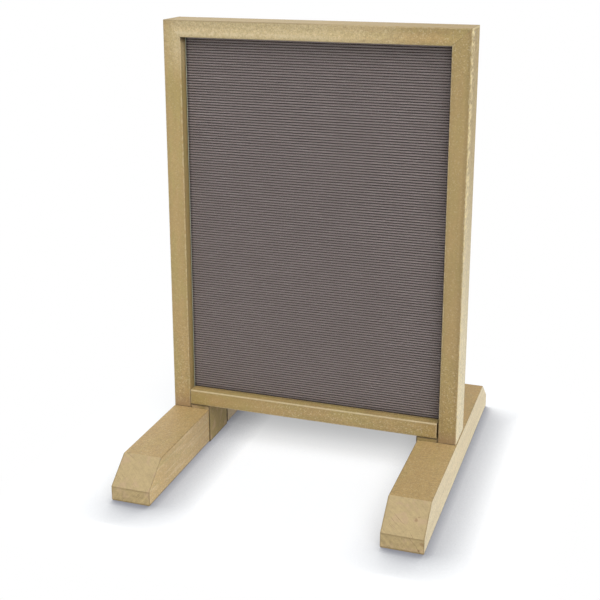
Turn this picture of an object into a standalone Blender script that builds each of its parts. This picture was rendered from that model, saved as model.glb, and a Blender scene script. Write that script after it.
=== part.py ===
"""A free-standing, double-sided message board framed in square-section lumber.

Two posts and a mitred top rail frame a core board with a grooved letter panel on each side.
Each post stands on a foot that is chamfered at both ends. A block let into the inner side
of each foot carries the bottom rail. A clear pane stands before each letter panel, in a
shallow groove below and a deep one above, so that it can be lifted, swung out and dropped.

Lengths are in metres. +Z is up, the front faces -Y, and the origin is on the floor under
the middle of the board.
"""

import bmesh
import bpy
from math import cos, pi, radians, tau
from mathutils import Matrix, Vector

MM = 0.001

LEFT = -1
RIGHT = 1
FRONT = -1
REAR = 1
X, Y, Z = range(3)

# Clearances, and how far a cutter runs past the face it cuts
JOINT_GAP = 0.3 * MM
CUT_OVERRUN = 6 * MM

# Lumber edges
EDGE_RADIUS = 3 * MM
EDGE_SEGMENTS = 3

# Frame
FRAME_WIDTH = 750 * MM
FRAME_DEPTH = 98 * MM
OPENING_HEIGHT = 915 * MM
POST_FACE = 45 * MM
TOP_RAIL_FACE = 41 * MM
BOTTOM_RAIL_FACE = 40 * MM
BOTTOM_RAIL_LIFT = 10 * MM
BOTTOM_RAIL_RIGHT_GAP = 4 * MM

# Feet
FOOT_LENGTH = 812 * MM
FOOT_WIDTH = 99 * MM
FOOT_HEIGHT = 91 * MM
FOOT_OVERHANG = 2 * MM
TOE_HEIGHT = 36 * MM
CHAMFER_RUN = 71 * MM

# Blocks let into the feet
BLOCK_LENGTH = 118 * MM
BLOCK_REAR_GAP = 10 * MM
BLOCK_PROUD = 2 * MM

# Core board and letter panels
CORE_THICKNESS = 19 * MM
LETTER_PANEL_THICKNESS = 9.5 * MM
PANEL_TONGUE = 10 * MM
GROOVE_PITCH = 6.35 * MM
GROOVE_WIDTH = 2.2 * MM
GROOVE_DEPTH = 3.2 * MM
RIDGE_SHOULDER = 0.6 * MM

# Panes and the grooves that they stand in
PANE_THICKNESS = 3 * MM
PANE_EDGE = 0.5 * MM
PANE_EDGE_SEGMENTS = 1
PANE_CLEARANCE = 0.4 * MM
PANE_SIDE_GAP = 3 * MM
PANE_HEAD_ENTRY = 7 * MM
LETTER_SPACE = 5 * MM
SILL_GROOVE_DEPTH = 7 * MM
HEAD_GROOVE_DEPTH = 20 * MM

# Lag bolts and washers, up through a foot into its post
BOLT_DIAMETER = 8 * MM
BOLT_ENGAGEMENT = 60 * MM
BOLT_TIP = 9 * MM
BOLT_SPACING = 54 * MM
BOLT_ACROSS_FLATS = 13 * MM
BOLT_HEAD_HEIGHT = 5.3 * MM
WASHER_DIAMETER = 20 * MM
WASHER_THICKNESS = 1.6 * MM
COUNTERBORE_DIAMETER = 25 * MM
COUNTERBORE_DEPTH = 38 * MM

# Screws, up through a block into the bottom rail
SCREW_DIAMETER = 6 * MM
SCREW_ENGAGEMENT = 24 * MM
SCREW_TIP = 7 * MM
SCREW_SPACING = 60 * MM
SCREW_HEAD_DIAMETER = 12 * MM
SCREW_HEAD_HEIGHT = 4 * MM
SCREW_RECESS_DIAMETER = 15 * MM
SCREW_RECESS_DEPTH = 50 * MM

# Nails, through a post's outer side into the end of the top rail
NAIL_DIAMETER = 2.8 * MM
NAIL_LENGTH = 62 * MM
NAIL_TIP = 4 * MM
NAIL_HEAD_DIAMETER = 4.6 * MM
NAIL_HEAD_HEIGHT = 1.2 * MM
NAIL_OFFSET = 13 * MM

# Nail heights, as shares of the lumber between the top of the frame and the panel's slot
NAIL_HEIGHT_SHARES = {"upper": 0.36, "lower": 0.78}

# A pan head's rim and crown, as shares of its height and of its radius
PAN_RIM_SHARE = 0.55
PAN_CROWN_SHARE = 0.62

ROUND_SEGMENTS = 16
NAIL_SEGMENTS = 12
HEX_SIDES = 6
SHARP_ANGLE = radians(35)
WELD_DISTANCE = 0.01 * MM

# Levels, from the floor up
RAIL_BOTTOM = FOOT_HEIGHT + BOTTOM_RAIL_LIFT
OPENING_BOTTOM = RAIL_BOTTOM + BOTTOM_RAIL_FACE
OPENING_TOP = OPENING_BOTTOM + OPENING_HEIGHT
FRAME_TOP = OPENING_TOP + TOP_RAIL_FACE
POST_BOTTOM = FOOT_HEIGHT + JOINT_GAP

# Distances to either side of the middle
FRAME_SIDE = FRAME_WIDTH / 2
OPENING_SIDE = FRAME_SIDE - POST_FACE
FOOT_OUTSIDE = FRAME_SIDE + FOOT_OVERHANG
FOOT_INSIDE = FOOT_OUTSIDE - FOOT_WIDTH
BLOCK_INSIDE = FOOT_INSIDE - BLOCK_PROUD
BLOCK_OUTSIDE = OPENING_SIDE - JOINT_GAP

# Distances before and behind the middle
FRAME_FACE = FRAME_DEPTH / 2
LETTER_BACK = CORE_THICKNESS / 2 + JOINT_GAP
LETTER_FACE = LETTER_BACK + LETTER_PANEL_THICKNESS
SLOT_SIDE = LETTER_FACE + JOINT_GAP
PANE_BACK = LETTER_FACE + LETTER_SPACE
PANE_FACE = PANE_BACK + PANE_THICKNESS
TOE = FOOT_LENGTH / 2
BLOCK_FRONT = -FRAME_FACE + JOINT_GAP
BLOCK_REAR = BLOCK_FRONT + BLOCK_LENGTH

# The panels stand in slots all round, and the panes only in the two rails
SLOT_BOTTOM = OPENING_BOTTOM - PANEL_TONGUE
SLOT_TOP = OPENING_TOP + PANEL_TONGUE
PANEL_BOTTOM = SLOT_BOTTOM + JOINT_GAP
PANEL_TOP = SLOT_TOP - JOINT_GAP
PANEL_SIDE = OPENING_SIDE + PANEL_TONGUE - JOINT_GAP
PANE_SIDE = OPENING_SIDE - PANE_SIDE_GAP
SILL = OPENING_BOTTOM - SILL_GROOVE_DEPTH
PANE_BOTTOM = SILL + JOINT_GAP
PANE_TOP = OPENING_TOP + PANE_HEAD_ENTRY

# Colours, linear
SAND = (0.46, 0.35, 0.18, 1.0)
SAWN_SAND = (0.54, 0.42, 0.25, 1.0)
MAUVE_GREY = (0.14, 0.12, 0.12, 1.0)
BOARD_BROWN = (0.20, 0.14, 0.09, 1.0)
CLEAR = (0.85, 0.92, 0.90, 0.2)
STEEL = (0.55, 0.55, 0.56, 1.0)

# Finishes: colour, roughness and how metallic
LUMBER_FINISH = (SAND, 0.7, 0.0)
BLOCK_FINISH = (SAWN_SAND, 0.8, 0.0)
LETTER_FINISH = (MAUVE_GREY, 0.9, 0.0)
CORE_FINISH = (BOARD_BROWN, 0.85, 0.0)
PANE_FINISH = (CLEAR, 0.06, 0.0)
STEEL_FINISH = (STEEL, 0.35, 1.0)

SIDE_NAMES = {LEFT: "left", RIGHT: "right"}
FACE_NAMES = {FRONT: "front", REAR: "rear"}


def clear_scene():
    for old in list(bpy.data.objects):
        bpy.data.objects.remove(old, do_unlink=True)


def new_collection(name):
    group = bpy.data.collections.new(name)
    bpy.context.scene.collection.children.link(group)
    return group


def add_object(name, mesh, group, location=(0, 0, 0)):
    new = bpy.data.objects.new(name, mesh)
    new.location = location
    group.objects.link(new)
    return new


def as_mesh(name, shape):
    """A worked shape as a mesh."""
    mesh = bpy.data.meshes.new(name)
    shape.to_mesh(mesh)
    shape.free()
    return mesh


def as_cutter(cutter):
    cutter.hide_render = True
    cutter.display_type = "WIRE"
    return cutter


def cut(target, cutter):
    """Take a cutter's shape out of a piece."""
    boolean = target.modifiers.new(cutter.name, "BOOLEAN")
    boolean.operation = "DIFFERENCE"
    boolean.solver = "EXACT"
    boolean.object = cutter


def apply_finish(piece, finish):
    """Give a piece a material of its own."""
    colour, roughness, metallic = finish
    material = bpy.data.materials.new(piece.name + "_finish")
    material.use_nodes = True
    shader = material.node_tree.nodes["Principled BSDF"]
    shader.inputs["Base Color"].default_value = colour
    shader.inputs["Roughness"].default_value = roughness
    shader.inputs["Metallic"].default_value = metallic
    shader.inputs["Alpha"].default_value = colour[-1]
    piece.data.materials.append(material)


def span(side, near, far):
    """The low and high ends of a stretch between two distances on one side of the middle."""
    return sorted((side * near, side * far))


def box(name, group, across, along, up, rounded_axis=None, radius=EDGE_RADIUS, segments=EDGE_SEGMENTS):
    """A block between two ends on each axis, its edges along one axis rounded if asked."""
    ends = [Vector(corner) for corner in zip(across, along, up)]
    size = ends[1] - ends[0]
    shape = bmesh.new()
    bmesh.ops.create_cube(shape, size=1)
    bmesh.ops.scale(shape, vec=size, verts=shape.verts)
    if rounded_axis is not None:
        parallel = [edge for edge in shape.edges if is_along(edge, rounded_axis)]
        bmesh.ops.bevel(shape, geom=parallel, offset=radius, offset_type="OFFSET", affect="EDGES",
                        segments=segments, profile=0.5, material=-1)
    return add_object(name, as_mesh(name, shape), group, (ends[0] + ends[1]) / 2)


def is_along(edge, axis):
    step = edge.verts[1].co - edge.verts[0].co
    return abs(step[axis]) > WELD_DISTANCE


def cylinder(name, group, radius, segments, centre, low, high):
    """An upright cylinder between two levels."""
    shape = bmesh.new()
    bmesh.ops.create_cone(shape, cap_ends=True, segments=segments, radius1=radius, radius2=radius,
                          depth=high - low)
    return add_object(name, as_mesh(name, shape), group, (*centre, (low + high) / 2))


def turned(name, group, profile, segments, location=(0, 0, 0)):
    """A profile of radius and height, listed from the top down, turned about Z."""
    mesh = bpy.data.meshes.new(name)
    points = [(radius, 0, height) for radius, height in profile]
    mesh.from_pydata(points, [(n, n + 1) for n in range(len(points) - 1)], [])
    new = add_object(name, mesh, group, location)
    screw = new.modifiers.new("turn", "SCREW")
    screw.axis = "Z"
    screw.angle = tau
    screw.steps = segments
    screw.render_steps = segments
    screw.use_merge_vertices = True
    screw.merge_threshold = WELD_DISTANCE
    return new


def prism(name, group, outline, outline_x, outline_y, thickness, location=(0, 0, 0)):
    """A flat outline, thickened evenly to both sides and turned to lie along two directions."""
    curve = bpy.data.curves.new(name, "CURVE")
    curve.dimensions = "2D"
    curve.fill_mode = "BOTH"
    curve.extrude = thickness / 2
    spline = curve.splines.new("POLY")
    spline.points.add(len(outline) - 1)
    for point, (u, v) in zip(spline.points, outline):
        point.co = (u, v, 0, 1)
    spline.use_cyclic_u = True
    source = add_object(name, curve, group)
    bpy.context.view_layer.update()
    evaluated = source.evaluated_get(bpy.context.evaluated_depsgraph_get())
    filled = bpy.data.meshes.new_from_object(evaluated)
    bpy.data.objects.remove(source, do_unlink=True)

    shape = bmesh.new()
    shape.from_mesh(filled)
    bmesh.ops.remove_doubles(shape, verts=shape.verts, dist=WELD_DISTANCE)
    bmesh.ops.recalc_face_normals(shape, faces=shape.faces)

    first, second = Vector(outline_x), Vector(outline_y)
    turn = Matrix((first, second, first.cross(second))).transposed()
    new = add_object(name, as_mesh(name, shape), group)
    new.matrix_world = Matrix.Translation(location) @ turn.to_4x4()
    return new


def band(start, end, near, far):
    """The corners of a band beside a line, between two distances to the left of it."""
    first, last = Vector(start), Vector(end)
    along = (last - first).normalized()
    left = Vector((-along.y, along.x))
    first = first - along * CUT_OVERRUN
    last = last + along * CUT_OVERRUN
    return [first + left * near, last + left * near, last + left * far, first + left * far]


def mitre_cutters(side, cutters):
    """Slabs on either side of a mitre: the first trims the rail, and the second the post."""
    inner = (side * OPENING_SIDE, OPENING_TOP)
    outer = (side * FRAME_SIDE, FRAME_TOP)
    reach = POST_FACE + TOP_RAIL_FACE
    gap = JOINT_GAP / 2
    deep = FRAME_DEPTH + 2 * CUT_OVERRUN
    slabs = []
    for piece, near, far in (("rail", -reach, gap), ("post", -gap, reach)):
        outline = band(inner, outer, side * near, side * far)
        name = f"{SIDE_NAMES[side]}_mitre_{piece}_cutter"
        slabs.append(as_cutter(prism(name, cutters, outline, (1, 0, 0), (0, 0, 1), deep)))
    return slabs


def slot_cutter(name, cutters, across, up):
    """The slot that holds the edges of the core board and both letter panels."""
    return as_cutter(box(name, cutters, across, (-SLOT_SIDE, SLOT_SIDE), up))


def pane_groove_cutter(name, cutters, face, across, up):
    along = span(face, PANE_BACK - PANE_CLEARANCE, PANE_FACE + PANE_CLEARANCE)
    return as_cutter(box(name, cutters, across, along, up))


def bore_cutter(name, cutters, radius, centre, low, high):
    return as_cutter(cylinder(name, cutters, radius, ROUND_SEGMENTS, centre, low, high))


def make_post(side, parts, cutters, mitre):
    """A post, mitred at the top, with a stopped slot for the panels down its inner side."""
    name = SIDE_NAMES[side] + "_post"
    across = span(side, OPENING_SIDE, FRAME_SIDE)
    post = box(name, parts, across, (-FRAME_FACE, FRAME_FACE), (POST_BOTTOM, FRAME_TOP), Z)
    slot_across = span(side, OPENING_SIDE - CUT_OVERRUN, OPENING_SIDE + PANEL_TONGUE)
    cut(post, mitre)
    cut(post, slot_cutter(name + "_slot", cutters, slot_across, (SLOT_BOTTOM, FRAME_TOP + CUT_OVERRUN)))
    apply_finish(post, LUMBER_FINISH)
    return post


def make_top_rail(parts, cutters, mitres):
    """The top rail, mitred at both ends, with the panels' slot and two deep pane grooves."""
    rail = box("top_rail", parts, (-FRAME_SIDE, FRAME_SIDE), (-FRAME_FACE, FRAME_FACE),
               (OPENING_TOP, FRAME_TOP), X)
    across = (-FRAME_SIDE - CUT_OVERRUN, FRAME_SIDE + CUT_OVERRUN)
    below = OPENING_TOP - CUT_OVERRUN
    for mitre in mitres:
        cut(rail, mitre)
    cut(rail, slot_cutter("head_slot", cutters, across, (below, SLOT_TOP)))
    for face, face_name in FACE_NAMES.items():
        groove = pane_groove_cutter(f"{face_name}_head_groove", cutters, face, across,
                                    (below, OPENING_TOP + HEAD_GROOVE_DEPTH))
        cut(rail, groove)
    apply_finish(rail, LUMBER_FINISH)
    return rail


def make_bottom_rail(parts, cutters):
    """The bottom rail, butted between the posts, with the slot and two shallow pane grooves."""
    ends = (-OPENING_SIDE + JOINT_GAP, OPENING_SIDE - BOTTOM_RAIL_RIGHT_GAP)
    rail = box("bottom_rail", parts, ends, (-FRAME_FACE, FRAME_FACE), (RAIL_BOTTOM, OPENING_BOTTOM), X)
    across = (ends[0] - CUT_OVERRUN, ends[1] + CUT_OVERRUN)
    above = OPENING_BOTTOM + CUT_OVERRUN
    cut(rail, slot_cutter("sill_slot", cutters, across, (SLOT_BOTTOM, above)))
    for face, face_name in FACE_NAMES.items():
        cut(rail, pane_groove_cutter(f"{face_name}_sill_groove", cutters, face, across, (SILL, above)))
    apply_finish(rail, LUMBER_FINISH)
    return rail


def make_foot(side, parts, cutters):
    """A foot: one length, chamfered down to a lip at both toes and notched for its block."""
    name = SIDE_NAMES[side] + "_foot"
    foot = box(name, parts, span(side, FOOT_INSIDE, FOOT_OUTSIDE), (-TOE, TOE), (0, FOOT_HEIGHT), Y)
    middle = (side * (FOOT_INSIDE + FOOT_OUTSIDE) / 2, 0, 0)
    wide = FOOT_WIDTH + 2 * CUT_OVERRUN
    for face, face_name in FACE_NAMES.items():
        toe = (face * TOE, TOE_HEIGHT)
        top = (face * (TOE - CHAMFER_RUN), FOOT_HEIGHT)
        outline = band(toe, top, 0, -face * FOOT_HEIGHT)
        wedge = prism(f"{name}_{face_name}_chamfer", cutters, outline, (0, 1, 0), (0, 0, 1), wide, middle)
        cut(foot, as_cutter(wedge))
    notch = box(name + "_notch", cutters, span(side, FOOT_INSIDE - CUT_OVERRUN, OPENING_SIDE),
                (-FRAME_FACE, BLOCK_REAR + BLOCK_REAR_GAP), (-CUT_OVERRUN, FOOT_HEIGHT + CUT_OVERRUN))
    cut(foot, as_cutter(notch))
    apply_finish(foot, LUMBER_FINISH)
    return foot


def make_foot_block(side, parts):
    """The block in a foot's notch, tall enough to carry the end of the bottom rail."""
    block = box(SIDE_NAMES[side] + "_foot_block", parts, span(side, BLOCK_INSIDE, BLOCK_OUTSIDE),
                (BLOCK_FRONT, BLOCK_REAR), (0, RAIL_BOTTOM - JOINT_GAP))
    apply_finish(block, BLOCK_FINISH)
    return block


def make_core_board(parts):
    core = box("core_board", parts, (-PANEL_SIDE, PANEL_SIDE), (-CORE_THICKNESS / 2, CORE_THICKNESS / 2),
               (PANEL_BOTTOM, PANEL_TOP))
    apply_finish(core, CORE_FINISH)
    return core


def groove_section():
    """One groove's section: a narrow channel with eased shoulders, open past the surface."""
    half = GROOVE_WIDTH / 2
    mouth = half + RIDGE_SHOULDER
    floor = LETTER_PANEL_THICKNESS - GROOVE_DEPTH
    shoulder = LETTER_PANEL_THICKNESS - RIDGE_SHOULDER
    surface = LETTER_PANEL_THICKNESS
    beyond = surface + CUT_OVERRUN
    return [(floor, -half), (shoulder, -half), (surface, -mouth), (beyond, -mouth),
            (beyond, mouth), (surface, mouth), (shoulder, half), (floor, half)]


def make_letter_panel(face, parts, cutters):
    """A letter panel: a flat sheet with level grooves at an even pitch all the way up."""
    name = FACE_NAMES[face] + "_letter_panel"
    panel = box(name, parts, (-PANEL_SIDE, PANEL_SIDE), span(face, LETTER_BACK, LETTER_FACE),
                (PANEL_BOTTOM, PANEL_TOP))
    height = PANEL_TOP - PANEL_BOTTOM
    count = int(height / GROOVE_PITCH)
    lowest = PANEL_BOTTOM + (height - (count - 1) * GROOVE_PITCH) / 2
    groove = prism(name + "_groove", cutters, groove_section(), (0, face, 0), (0, 0, 1),
                   2 * (PANEL_SIDE + CUT_OVERRUN), (0, face * LETTER_BACK, lowest))
    comb = groove.modifiers.new("pitch", "ARRAY")
    comb.count = count
    comb.use_relative_offset = False
    comb.use_constant_offset = True
    comb.constant_offset_displace = (0, GROOVE_PITCH, 0)
    cut(panel, as_cutter(groove))
    apply_finish(panel, LETTER_FINISH)
    return panel


def make_pane(face, parts):
    """A clear pane standing in its sill groove, with its upright edges eased."""
    pane = box(FACE_NAMES[face] + "_pane", parts, (-PANE_SIDE, PANE_SIDE), span(face, PANE_BACK, PANE_FACE),
               (PANE_BOTTOM, PANE_TOP), Z, PANE_EDGE, PANE_EDGE_SEGMENTS)
    apply_finish(pane, PANE_FINISH)
    return pane


def make_foot_bolt(side, face, parts, cutters, foot, post):
    """A lag bolt on its washer, in a counterbore under the foot, up into the post."""
    name = f"{SIDE_NAMES[side]}_{FACE_NAMES[face]}_foot"
    centre = (side * (OPENING_SIDE + FRAME_SIDE) / 2, face * BOLT_SPACING / 2)
    radius = BOLT_DIAMETER / 2
    hole = radius + JOINT_GAP
    washer_top = COUNTERBORE_DEPTH - JOINT_GAP
    washer_bottom = washer_top - WASHER_THICKNESS
    seat = washer_bottom - JOINT_GAP
    tip = POST_BOTTOM + BOLT_ENGAGEMENT

    profile = [(0, tip), (radius, tip - BOLT_TIP), (radius, seat - BOLT_HEAD_HEIGHT / 2),
               (0, seat - BOLT_HEAD_HEIGHT / 2)]
    bolt = turned(name + "_bolt", parts, profile, ROUND_SEGMENTS, (*centre, 0))
    corner_radius = BOLT_ACROSS_FLATS / 2 / cos(pi / HEX_SIDES)
    head = cylinder(name + "_bolt_head", cutters, corner_radius, HEX_SIDES, centre,
                    seat - BOLT_HEAD_HEIGHT, seat)
    join = bolt.modifiers.new("head", "BOOLEAN")
    join.operation = "UNION"
    join.solver = "EXACT"
    join.object = as_cutter(head)
    apply_finish(bolt, STEEL_FINISH)

    rim = WASHER_DIAMETER / 2
    washer = cylinder(name + "_washer", parts, rim, ROUND_SEGMENTS, centre, washer_bottom, washer_top)
    apply_finish(washer, STEEL_FINISH)
    bore = bore_cutter(name + "_bore", cutters, hole, centre, seat - CUT_OVERRUN, tip + JOINT_GAP)
    recess = bore_cutter(name + "_counterbore", cutters, COUNTERBORE_DIAMETER / 2, centre,
                         -CUT_OVERRUN, COUNTERBORE_DEPTH)
    cut(washer, bore)
    cut(foot, bore)
    cut(foot, recess)
    cut(post, bore)


def make_block_screw(side, face, parts, cutters, block, rail):
    """A pan-headed screw, recessed under the block, up into the end of the bottom rail."""
    name = f"{SIDE_NAMES[side]}_{FACE_NAMES[face]}_block_screw"
    centre = (side * (BLOCK_INSIDE + BLOCK_OUTSIDE) / 2, face * SCREW_SPACING / 2)
    radius = SCREW_DIAMETER / 2
    head = SCREW_HEAD_DIAMETER / 2
    seat = SCREW_RECESS_DEPTH - JOINT_GAP
    tip = RAIL_BOTTOM + SCREW_ENGAGEMENT
    profile = [(0, tip), (radius, tip - SCREW_TIP), (radius, seat), (head, seat),
               (head, seat - PAN_RIM_SHARE * SCREW_HEAD_HEIGHT),
               (PAN_CROWN_SHARE * head, seat - SCREW_HEAD_HEIGHT), (0, seat - SCREW_HEAD_HEIGHT)]
    screw = turned(name, parts, profile, ROUND_SEGMENTS, (*centre, 0))
    apply_finish(screw, STEEL_FINISH)

    bore = bore_cutter(name + "_bore", cutters, radius + JOINT_GAP, centre, seat - CUT_OVERRUN,
                       tip + JOINT_GAP)
    recess = bore_cutter(name + "_recess", cutters, SCREW_RECESS_DIAMETER / 2, centre,
                         -CUT_OVERRUN, SCREW_RECESS_DEPTH)
    cut(block, bore)
    cut(block, recess)
    cut(rail, bore)


def nail_profile(clearance):
    """A nail with its head at the top, or the hole that it leaves when it gets a clearance."""
    shank = NAIL_DIAMETER / 2 + clearance
    head = NAIL_HEAD_DIAMETER / 2 + clearance
    top = CUT_OVERRUN if clearance else 0
    under_head = -NAIL_HEAD_HEIGHT - clearance
    shoulder = -NAIL_LENGTH + NAIL_TIP
    return [(0, top), (head, top), (head, under_head), (shank, under_head), (shank, shoulder - clearance),
            (0, -NAIL_LENGTH - clearance)]


def make_mitre_nail(side, level, share, parts, cutters, post, rail):
    """A nail, flush with the post's outer side, across the mitre into the top rail."""
    name = f"{SIDE_NAMES[side]}_{level}_mitre_nail"
    height = FRAME_TOP - share * (FRAME_TOP - SLOT_TOP)
    place = (side * FRAME_SIDE, -NAIL_OFFSET, height)
    nail = turned(name, parts, nail_profile(0), NAIL_SEGMENTS, place)
    hole = as_cutter(turned(name + "_hole", cutters, nail_profile(JOINT_GAP), NAIL_SEGMENTS, place))
    for pin in (nail, hole):
        pin.rotation_euler.y = side * pi / 2
    cut(post, hole)
    cut(rail, hole)
    apply_finish(nail, STEEL_FINISH)


def angle_shading():
    """Nodes that shade rounds smooth and keep every edge beyond the sharp angle crisp."""
    tree = bpy.data.node_groups.new("angle_shading", "GeometryNodeTree")
    tree.interface.new_socket("Geometry", in_out="INPUT", socket_type="NodeSocketGeometry")
    tree.interface.new_socket("Geometry", in_out="OUTPUT", socket_type="NodeSocketGeometry")
    source = tree.nodes.new("NodeGroupInput")
    angle = tree.nodes.new("GeometryNodeInputMeshEdgeAngle")
    is_round = tree.nodes.new("FunctionNodeCompare")
    is_round.operation = "LESS_EQUAL"
    is_round.inputs["B"].default_value = SHARP_ANGLE
    faces = tree.nodes.new("GeometryNodeSetShadeSmooth")
    edges = tree.nodes.new("GeometryNodeSetShadeSmooth")
    edges.domain = "EDGE"
    result = tree.nodes.new("NodeGroupOutput")
    tree.links.new(source.outputs["Geometry"], faces.inputs["Geometry"])
    tree.links.new(faces.outputs["Geometry"], edges.inputs["Geometry"])
    tree.links.new(angle.outputs["Unsigned Angle"], is_round.inputs["A"])
    tree.links.new(is_round.outputs["Result"], edges.inputs["Shade Smooth"])
    tree.links.new(edges.outputs["Geometry"], result.inputs["Geometry"])
    return tree


def make_board():
    parts = new_collection("message_board")
    cutters = new_collection("message_board_cutters")
    mitres = {side: mitre_cutters(side, cutters) for side in SIDE_NAMES}
    top_rail = make_top_rail(parts, cutters, [mitres[side][0] for side in SIDE_NAMES])
    bottom_rail = make_bottom_rail(parts, cutters)
    for side in SIDE_NAMES:
        post = make_post(side, parts, cutters, mitres[side][1])
        foot = make_foot(side, parts, cutters)
        block = make_foot_block(side, parts)
        for face in FACE_NAMES:
            make_foot_bolt(side, face, parts, cutters, foot, post)
            make_block_screw(side, face, parts, cutters, block, bottom_rail)
        for level, share in NAIL_HEIGHT_SHARES.items():
            make_mitre_nail(side, level, share, parts, cutters, post, top_rail)
    make_core_board(parts)
    for face in FACE_NAMES:
        make_letter_panel(face, parts, cutters)
        make_pane(face, parts)
    shading = angle_shading()
    for piece in parts.objects:
        piece.modifiers.new("shading", "NODES").node_group = shading


clear_scene()
make_board()
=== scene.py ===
"""The looks of a free-standing message board: its stage, and the surface of every piece.

Lengths are in metres, in the axes of the loaded frame: +Z is up, the front faces -Y, and the
origin is on the floor under the middle of the board. Colours are linear.
"""

from math import atan2, ceil, cos, pi, radians, sin, tau
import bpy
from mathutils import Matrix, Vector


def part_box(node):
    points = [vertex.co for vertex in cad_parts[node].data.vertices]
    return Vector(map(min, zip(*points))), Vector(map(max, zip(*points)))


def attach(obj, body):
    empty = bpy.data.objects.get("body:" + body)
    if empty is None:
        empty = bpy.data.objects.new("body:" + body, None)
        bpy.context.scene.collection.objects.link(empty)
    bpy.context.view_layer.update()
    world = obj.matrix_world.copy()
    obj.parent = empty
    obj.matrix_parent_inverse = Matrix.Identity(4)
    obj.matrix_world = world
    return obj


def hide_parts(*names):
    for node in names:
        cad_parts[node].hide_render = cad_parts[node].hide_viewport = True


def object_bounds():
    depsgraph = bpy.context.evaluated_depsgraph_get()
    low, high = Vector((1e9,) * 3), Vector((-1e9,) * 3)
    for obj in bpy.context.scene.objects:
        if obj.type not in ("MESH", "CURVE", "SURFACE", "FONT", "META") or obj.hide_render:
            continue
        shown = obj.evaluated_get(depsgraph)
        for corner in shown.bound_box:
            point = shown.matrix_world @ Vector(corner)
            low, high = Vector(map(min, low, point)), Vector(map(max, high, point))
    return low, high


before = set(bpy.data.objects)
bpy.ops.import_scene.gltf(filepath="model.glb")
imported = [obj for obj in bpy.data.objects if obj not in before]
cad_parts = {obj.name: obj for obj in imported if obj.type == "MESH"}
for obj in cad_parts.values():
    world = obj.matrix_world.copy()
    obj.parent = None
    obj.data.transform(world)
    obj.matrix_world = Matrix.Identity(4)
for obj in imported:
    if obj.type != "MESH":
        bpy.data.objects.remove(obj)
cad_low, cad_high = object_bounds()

from types import SimpleNamespace

import bmesh
import bpy
from bpy.props import FloatProperty, FloatVectorProperty, PointerProperty
from mathutils import Euler, Vector

bl_info = {
    "name": "Message Board",
    "version": (1, 0, 0),
    "blender": (4, 5, 0),
    "location": "3D View > Sidebar > Message Board",
    "description": "Dresses a free-standing message board and sets its stage",
    "category": "Object",
}

MM = 0.001
WELD = 0.01 * MM
X, Y, Z = range(3)
SIDES = ("left", "right")
FACES = ("front", "rear")

WHITE = (1.0, 1.0, 1.0)

# How squarely a face has to point along an axis to count: the two ends of a fade.
SQUARE_ON = (0.6, 0.9)
SIDE_ON = (0.6, 0.95)

FLOOR_REACH = 40.0
OCCLUSION_SAMPLES = 8
LAMP_ANGLE = radians(55)
SENSOR_WIDTH = 36.0

SMOOTH_UP_TO = radians(50)
CUT_EDGE = radians(35)
CHAMFER_EDGE = radians(36)


# Settings


def colour_setting(name, description, default):
    return FloatVectorProperty(name=name, description=description, default=default, size=3,
                               min=0.0, max=1.0, subtype="COLOR")


def length_setting(name, description, default):
    return FloatProperty(name=name, description=description, default=default, min=0.0,
                         precision=5, unit="LENGTH")


def share_setting(name, description, default):
    return FloatProperty(name=name, description=description, default=default, min=0.0,
                         max=1.0, subtype="FACTOR")


def strength_setting(name, description, default):
    return FloatProperty(name=name, description=description, default=default, min=0.0)


def direction_setting(name, description, default):
    return FloatVectorProperty(name=name, description=description, default=default,
                               subtype="XYZ")


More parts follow.
